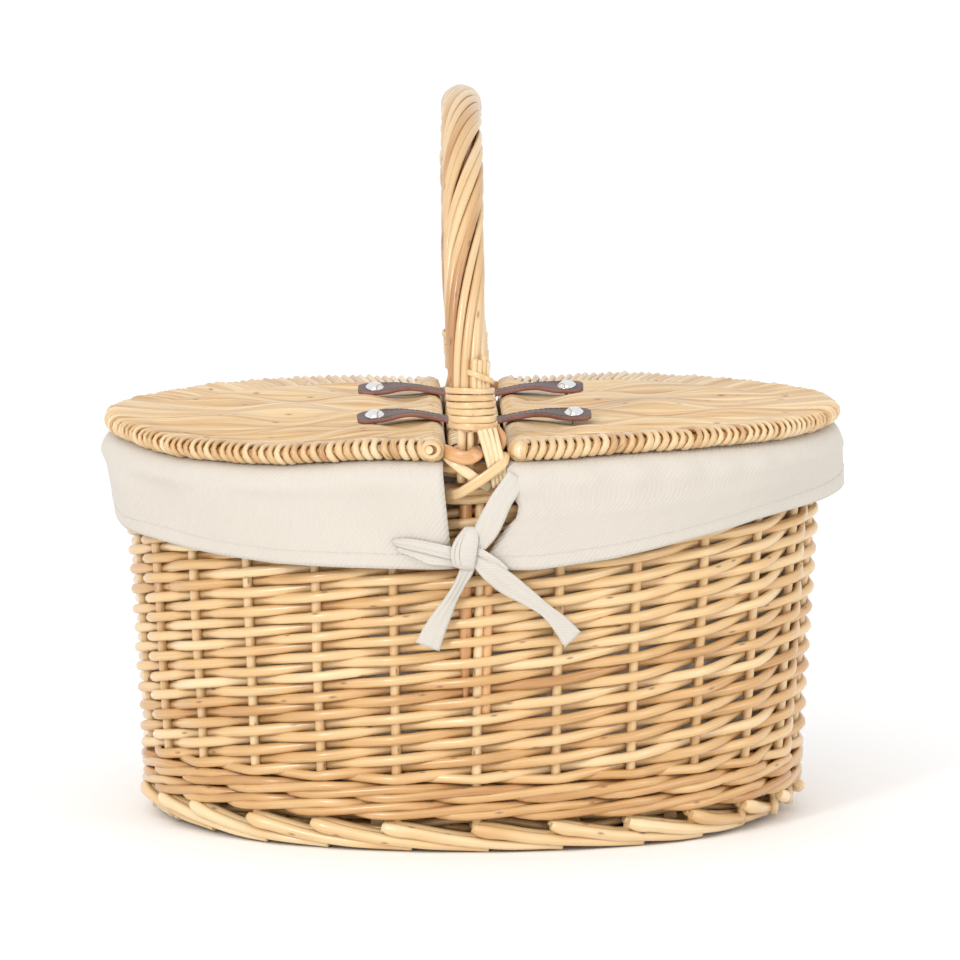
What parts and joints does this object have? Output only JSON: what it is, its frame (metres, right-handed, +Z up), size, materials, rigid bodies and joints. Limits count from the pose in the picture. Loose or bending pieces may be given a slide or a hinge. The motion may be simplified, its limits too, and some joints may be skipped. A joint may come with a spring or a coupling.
{
  "type": "picnic basket",
  "caption": "Oval willow picnic basket with a fixed roped handle, hinged half lids on leather straps, and a tied cotton lining that folds over the rim",
  "frame": {"origin": "on the ground, in the middle of the basket's footprint", "axes": "+X along the basket's length towards the right lid, +Y from front to back across the width and along the handle's arch, +Z up; the front, with its knot, faces -Y"},
  "size_m": [0.43, 0.3202, 0.426],
  "materials": {
    "willow": "peeled buff willow rods with a thin clear varnish",
    "lid_willow": "pale peeled willow rods with a thin clear varnish",
    "handle_willow": "pale peeled willow rods twisted round a bow, satin",
    "cane": "flat glossy strips with a skin side",
    "lining": "off-white cotton twill, unbleached, hemmed",
    "tape": "off-white cotton tape, folded and sewn",
    "leather": "dark brown leather, reddish at the cut edges, stitched along the sides",
    "stud": "nickel plated dome, polished"
  },
  "bodies": {
    "basket": {"base_weave": "willow", "bottom_wale": "willow", "foot_border": "willow", "side_weave": "willow", "top_wale": "willow", "stakes_and_border": "willow", "base_long_stick_1": "willow", "base_long_stick_2": "willow", "base_long_stick_3": "willow", "base_cross_stick_1": "willow", "base_cross_stick_2": "willow", "base_cross_stick_3": "willow", "base_cross_stick_4": "willow", "base_cross_stick_5": "willow", "handle_liner_front": "willow", "handle_liner_back": "willow", "handle_bow": "willow", "centre_bar_rod_left": "willow", "centre_bar_rod_right": "willow", "handle_rope": "handle_willow", "handle_strand_ends_front": "handle_willow", "handle_strand_ends_back": "handle_willow", "centre_bar_weave": "willow", "handle_binding_front": "cane", "handle_binding_back": "cane", "handle_lashing_front": "cane", "handle_lashing_back": "cane", "lining_side_panel": "lining", "lining_base_panel": "lining", "lining_skirt_left": "lining", "lining_skirt_right": "lining", "tie_left_front": "tape", "tie_left_back": "tape", "tie_right_front": "tape", "tie_right_back": "tape", "strap_centre_front": "leather", "strap_centre_back": "leather"},
    "left_lid": {"left_lid_weave": "lid_willow", "left_lid_hoop": "lid_willow", "left_lid_edge_rod": "lid_willow", "left_lid_stick_1": "lid_willow", "left_lid_stick_2": "lid_willow", "left_lid_stick_3": "lid_willow", "strap_leaf_left_front": "leather", "strap_leaf_left_back": "leather", "stud_left_front": "stud", "stud_left_back": "stud"},
    "right_lid": {"right_lid_weave": "lid_willow", "right_lid_hoop": "lid_willow", "right_lid_edge_rod": "lid_willow", "right_lid_stick_1": "lid_willow", "right_lid_stick_2": "lid_willow", "right_lid_stick_3": "lid_willow", "strap_leaf_right_front": "leather", "strap_leaf_right_back": "leather", "stud_right_front": "stud", "stud_right_back": "stud"}
  },
  "joints": [
    {"name": "left_lid_hinge", "type": "hinge", "parent": "basket", "child": "left_lid", "pos_m": [-0.0165, 0, 0.2384], "axis": [0, 1, 0], "range_deg": [0, 86]},
    {"name": "right_lid_hinge", "type": "hinge", "parent": "basket", "child": "right_lid", "pos_m": [0.0165, 0, 0.2384], "axis": [0, -1, 0], "range_deg": [0, 86]}
  ]
}
